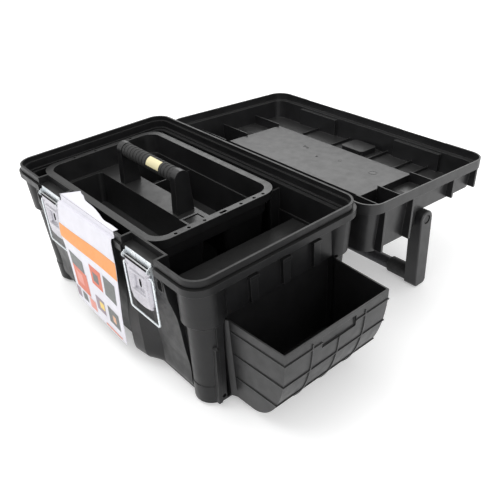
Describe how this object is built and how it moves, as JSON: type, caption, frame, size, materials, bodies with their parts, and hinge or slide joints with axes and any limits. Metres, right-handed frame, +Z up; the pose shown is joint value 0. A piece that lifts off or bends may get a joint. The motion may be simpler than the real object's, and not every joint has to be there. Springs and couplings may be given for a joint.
{
  "type": "carpenter toolbox",
  "caption": "Rectangular plastic tool box with a fold-back stepped lid, carry handle, over-centre wire latches, a pull-out end drawer and a deep lift-out tote tray.",
  "frame": {"origin": "floor level at the centre of the tub's footprint, on its centre pad", "axes": "+X to the right end, -Y to the front with the latches, +Z up"},
  "size_m": [0.7039, 0.7299, 0.289],
  "materials": {
    "black_plastic": "fine moulded grain, slightly satin",
    "steel": "plain",
    "zinc_steel": "bright zinc plate",
    "aluminium_tube": "satin anodised",
    "soft_rubber": "soft matte",
    "sticker": "plain sticker",
    "card": "printed card, plain blocks of colour"
  },
  "bodies": {
    "tub": {"tub_shell": "black_plastic", "hinge_pins": "steel", "latch_rivets": "steel", "left_latch_plate": "zinc_steel", "right_latch_plate": "zinc_steel", "left_lever_pin": "steel", "right_lever_pin": "steel", "label_card": "card"},
    "lid": {"lid_shell": "black_plastic", "handle_pivot_pins": "steel"},
    "carry_handle": {"left_handle_arm": "black_plastic", "right_handle_arm": "black_plastic", "handle_tube": "aluminium_tube", "left_grip_collar": "soft_rubber", "right_grip_collar": "soft_rubber"},
    "left_lever": {"left_latch_lever": "zinc_steel"},
    "right_lever": {"right_latch_lever": "zinc_steel"},
    "left_bail": {"left_latch_bail": "zinc_steel"},
    "right_bail": {"right_latch_bail": "zinc_steel"},
    "right_drawer": {"right_drawer": "black_plastic"},
    "tray": {"tray_shell": "black_plastic", "tray_handle": "black_plastic", "tray_grip": "soft_rubber", "grip_label": "sticker"}
  },
  "joints": [
    {"name": "lid_hinge", "type": "hinge", "parent": "tub", "child": "lid", "pos_m": [0, 0.184, 0.25], "axis": [1, 0, 0], "range_deg": [0, 183.75]},
    {"name": "handle_fold", "type": "hinge", "parent": "lid", "child": "carry_handle", "pos_m": [0, 0.35799, 0.15241], "axis": [1, 0, 0], "range_deg": [-3.75, 86.25]},
    {"name": "left_lever_hinge", "type": "hinge", "parent": "tub", "child": "left_lever", "pos_m": [-0.141, -0.1755, 0.243], "axis": [-1, 0, 0], "range_deg": [0, 165]},
    {"name": "left_bail_swing", "type": "hinge", "parent": "left_lever", "child": "left_bail", "pos_m": [-0.141, -0.1755, 0.23], "axis": [1, 0, 0], "range_deg": [-180, 0]},
    {"name": "right_lever_hinge", "type": "hinge", "parent": "tub", "child": "right_lever", "pos_m": [0.153, -0.1755, 0.243], "axis": [-1, 0, 0], "range_deg": [0, 165]},
    {"name": "right_bail_swing", "type": "hinge", "parent": "right_lever", "child": "right_bail", "pos_m": [0.153, -0.1755, 0.23], "axis": [1, 0, 0], "range_deg": [-180, 0]},
    {"name": "right_drawer_slide", "type": "slide", "parent": "tub", "child": "right_drawer", "axis": [1, 0, 0], "range_m": [-0.111, 0]},
    {"name": "tray_lift", "type": "slide", "parent": "tub", "child": "tray", "axis": [0, 0, -1], "range_m": [-0.15, 0]}
  ]
}
